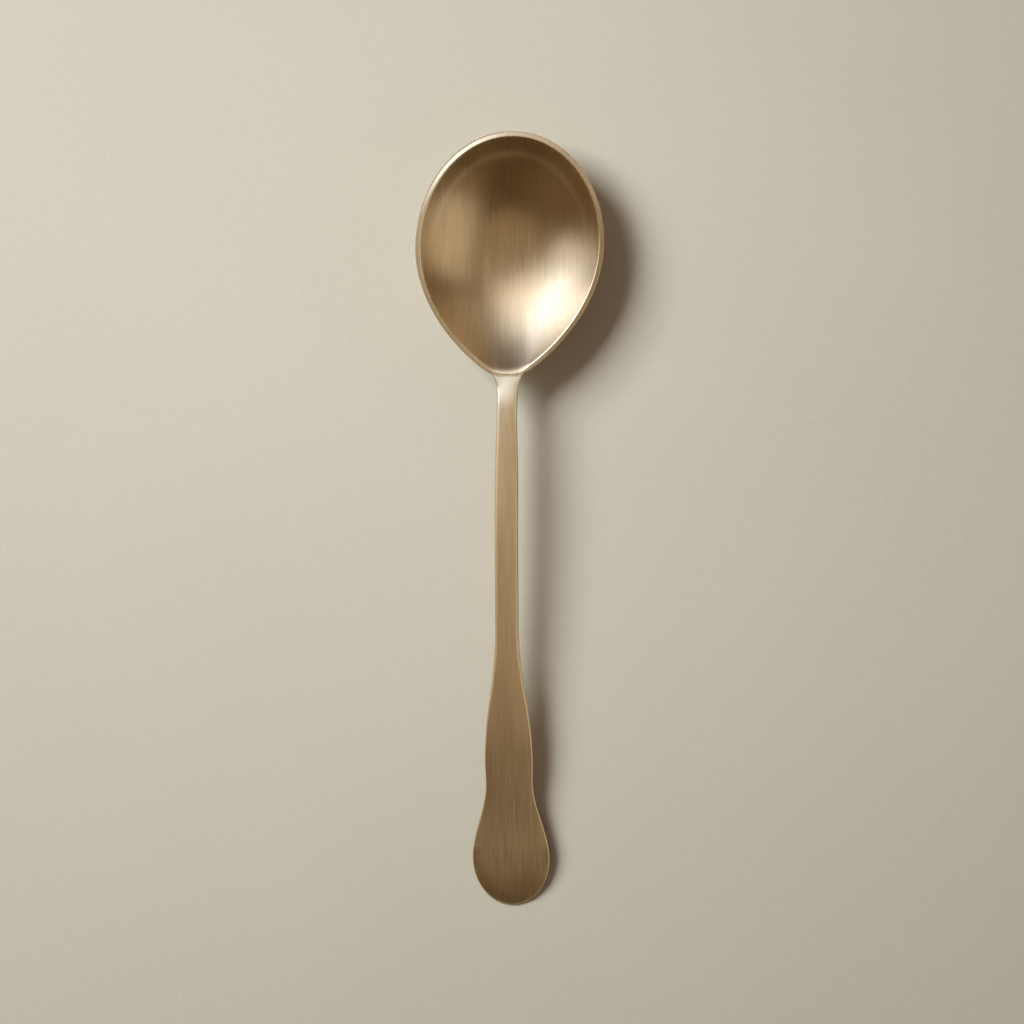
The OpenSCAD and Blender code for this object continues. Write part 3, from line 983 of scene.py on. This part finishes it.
class SPOON_OT_brazing(bpy.types.Operator):
    """Build the brazing: a film with a fillet round the tongue, and the dressed seam on top."""

    bl_idname = "spoon.brazing"
    bl_label = "Brazing"

    def fillet_rings(self, form, t, beyond):
        """Sections of the film. Each fillet is a hollow curve, and beyond the tongue's end the section
        shrinks like a quarter circle."""
        joint = form.joint
        half_w = form.tongue_half(t)
        side = form.tongue_depth(t) * between(ROOT_SIDE_SHARE, TONGUE_SIDE_SHARE, t) * BEAD_SIDE_SHARE
        shrink = np.sqrt(np.maximum(1 - beyond**2, 0))
        part = form.tongue_part(t + beyond * joint.bead / joint.tongue_l)
        hollow = np.linspace(0, 1, FILLET_COLUMNS)
        outer = -half_w - joint.bead * shrink * (1 - hollow)
        flat = between(-half_w, half_w, np.linspace(0, 1, FLAT_COLUMNS)[1:-1])
        x = np.concatenate([outer, flat, -outer[:, ::-1]], axis=1)
        rise = (joint.film + side) * hollow**BEAD_POWER
        under = np.where(beyond > 0, joint.film + side, joint.film) * np.ones_like(flat)
        lower = np.concatenate([rise, under, rise[:, ::-1]], axis=1) * (1 - beyond) ** 2
        return ring_of(form.bowl.underside(x, part, 0.0), form.bowl.underside(x, part, lower))

    def seam_rings(self, form):
        """Sections of the seam across the neck: a low crown from the rim's land to the handle's root, and
        back inside the metal."""
        joint, bowl = form.joint, form.bowl
        c = np.linspace(-1, 1, SEAM_ROWS)
        x = c * form.sizes.root_w / 2
        edge = bowl.underside(x, np.ones_like(x), 0.0)
        fade = np.sqrt(np.maximum(1 - c**SEAM_END_POWER, 0))
        reach = joint.seam * fade[:, None]
        rim_z = edge[:, 2] + bowl.sizes.ease
        near = np.linspace(1, -1, FILLET_COLUMNS + 2)
        y = edge[:, 1:2] + near * reach
        root_z = form.crest(np.maximum(-near, 0) * reach)
        rim_part = bowl.lean(NECK_TURN) * np.maximum(near, 0) * reach
        height = np.where(near > 0, rim_z[:, None] + rim_part, between(rim_z[:, None], root_z, -near))
        top_z = height + joint.seam_crown * (1 - near**2)
        base_z = top_z - joint.film - joint.film * (1 - near**2)
        across = np.broadcast_to(edge[:, :1], y.shape)
        return ring_of(*(np.stack([across, y, z], axis=-1) for z in (top_z, base_z)))

    def execute(self, context):
        form = handle_form(context.scene)
        t = np.linspace(0, 1, TONGUE_ROWS + 1)[:, None]
        beyond = np.linspace(0, 1, FILLET_COLUMNS + 2)[1:-1, None]
        beside = self.fillet_rings(form, t, np.zeros_like(t))
        past = self.fillet_rings(form, np.ones_like(beyond), beyond)
        film = np.concatenate([beside, past])[::-1]
        finish = context.scene.spoon_finish
        look = (finish.dressed_roughness, finish.handle_stretch, finish.pitting)
        material = brushed_metal("smoothed brazing", finish.brazing, finish, *look)
        for name, rings in (("brazing_fillet", film), ("brazing_seam", self.seam_rings(form))):
            piece = skin(name, rings, rings[0].mean(0), rings[-1].mean(0), flat_pattern(rings))
            place_on_body(piece, "neck_braze", material)
        return {"FINISHED"}


class SPOON_OT_stage(bpy.types.Operator):
    """Lay the floor and set the lights, the surroundings and the camera."""

    bl_idname = "spoon.stage"
    bl_label = "Stage"

    def floor_material(self, tint, palest):
        """A matt cloth with faint threads, whose colour darkens away from one place as painted light
        falloff, and which far away turns into a plain pale background.
        """
        material = bpy.data.materials.new("pale cloth")
        board = NodeBoard(material)
        place = board.add("TexCoord").outputs["Object"]
        flat = board.vector("MULTIPLY_ADD", place, (1, 1, 0), (0, -palest, 0))[0]
        away = board.vector("LENGTH", flat)["Value"]
        threads = board.maths("ADD", board.noise(place, WARP_SCALE), board.noise(place, WEFT_SCALE))
        tone = board.mapped(threads, *THREAD_RANGE, 1 - THREAD_TONE, 1 + THREAD_TONE)
        tone = board.maths("MULTIPLY", tone, board.varied(board.noise(place, CLOUD_SCALE), CLOUD_TONE))
        # Painted light falloff: the floor's colour darkens away from its palest place
        tone = board.maths("MULTIPLY", tone, board.mapped(away, *PAINTED_FLOOR_FALLOFF, 1.0, PAINTED_FALLOFF_TONE))
        bump = board.add("Bump", {"Strength": 0.25, "Distance": 0.05 * MM, "Height": threads})
        matt = {"Base Color": board.scaled(tint, tone), "Roughness": 0.9, "Specular IOR Level": 0.15}
        cloth = board.add("BsdfPrincipled", {**matt, "Normal": bump.outputs["Normal"]})
        path = board.add("LightPath").outputs
        seen = board.maths("MAXIMUM", path["Is Camera Ray"], path["Is Glossy Ray"])
        far = board.maths("MULTIPLY", board.mapped(away, *FLOOR_FAR), seen)
        glow = board.add("Emission", {"Color": (*tint, 1)})
        board.add("OutputMaterial", {"Surface": board.mixed(far, cloth, glow).outputs[0]})
        return material

    def surroundings(self, setup):
        """A dim room that the metal mirrors, with soft patches of light: each is a smooth step of the
        cosine of the angle from its middle. The floor gets an even fill, and the camera, like low
        reflections, sees a pale background."""
        world = bpy.data.worlds.new("quiet room")
        board = NodeBoard(world)
        direction = board.add("TexCoord").outputs["Generated"]
        room = setup.room
        for turn, height, core, edge, radiance in ROOM_LIGHT.values():
            middle = towards(math.radians(turn), math.radians(height))
            cosine = board.vector("DOT_PRODUCT", direction, middle)["Value"]
            inner = math.cos(math.radians(core))
            outer = math.cos(math.radians(core + edge))
            level = board.mapped(cosine, outer, inner, way="SMOOTHSTEP")
            room = board.vector("ADD", room, board.scaled(radiance, level))[0]
        height = board.add("SeparateXYZ", {0: direction}).outputs["Z"]
        path = board.add("LightPath").outputs
        low = board.maths("MULTIPLY", path["Is Glossy Ray"], board.mapped(height, *HORIZON, 1.0, 0.0))
        mirrored, fill, pale = (
            board.add("Background", {"Color": tint}) for tint in (room, (*setup.fill, 1), (*setup.floor, 1))
        )
        lit = board.mixed(path["Is Glossy Ray"], fill, mirrored)
        seen = board.mixed(board.maths("MAXIMUM", low, path["Is Camera Ray"]), lit, pale)
        board.add("OutputWorld", {"Surface": seen.outputs[0]})
        bpy.context.scene.world = world

    def key_light(self, setup):
        """A large square light that faces the spoon and is hidden from reflections. Its power is the light
        wanted on the floor, times pi squared and the distance squared, over the sine of its height."""
        lamp = bpy.data.lights.new("window light", "AREA")
        lamp.shape = "SQUARE"
        lamp.size = setup.key_size
        lamp.energy = setup.key_level * math.pi**2 * setup.key_distance**2 / math.sin(setup.key_height)
        light = new_object("window light", lamp)
        middle = towards(setup.key_turn, setup.key_height)
        light.location = middle * setup.key_distance
        light.rotation_euler = middle.to_track_quat("Z", "Y").to_euler()
        light.visible_glossy = False

    def execute(self, context):
        setup = context.scene.spoon_stage
        corners = [(x * FLOOR_REACH, y * FLOOR_REACH, 0) for x, y in ((-1, -1), (1, -1), (1, 1), (-1, 1))]
        mesh = bpy.data.meshes.new("floor")
        mesh.from_pydata(corners, [], [(0, 1, 2, 3)])
        mesh.materials.append(self.floor_material(setup.floor, setup.floor_y))
        floor = new_object("floor", mesh)
        self.surroundings(setup)
        self.key_light(setup)
        view = bpy.data.cameras.new("camera")
        view.lens = setup.lens / MM
        view.sensor_width = setup.sensor / MM
        camera = new_object("camera", view)
        camera.location = (setup.camera_x, setup.camera_y, setup.camera_z)
        context.scene.camera = camera
        context.scene.view_settings.view_transform = "Standard"
        return {"FINISHED"}


GROUPS = {
    "spoon_bowl": SPOON_PG_bowl,
    "spoon_handle": SPOON_PG_handle,
    "spoon_joint": SPOON_PG_joint,
    "spoon_finish": SPOON_PG_finish,
    "spoon_stage": SPOON_PG_stage,
}
OPERATORS = (SPOON_OT_bowl, SPOON_OT_handle, SPOON_OT_brazing, SPOON_OT_stage)


class VIEW3D_PT_spoon(bpy.types.Panel):
    """The spoon's sizes, finish and stage, with a button for each piece."""

    bl_label = "Serving spoon"
    bl_space_type = "VIEW_3D"
    bl_region_type = "UI"
    bl_category = "Spoon"

    def draw(self, context):
        for operator in OPERATORS:
            self.layout.operator(operator.bl_idname)
        for group, kind in GROUPS.items():
            box = self.layout.box()
            box.label(text=kind.__doc__)
            for prop in kind.__annotations__:
                box.prop(getattr(context.scene, group), prop)


def register():
    """Register the settings, the operators and the panel."""
    for kind in (*GROUPS.values(), *OPERATORS, VIEW3D_PT_spoon):
        bpy.utils.register_class(kind)
    for group, kind in GROUPS.items():
        setattr(bpy.types.Scene, group, bpy.props.PointerProperty(type=kind))


def unregister():
    """Remove the settings, the operators and the panel."""
    for group in GROUPS:
        delattr(bpy.types.Scene, group)
    for kind in reversed((*GROUPS.values(), *OPERATORS, VIEW3D_PT_spoon)):
        bpy.utils.unregister_class(kind)


def main():
    """Build the spoon and its stage."""
    register()
    bpy.ops.spoon.bowl()
    bpy.ops.spoon.handle()
    bpy.ops.spoon.brazing()
    bpy.ops.spoon.stage()


if __name__ == "__main__":
    main()
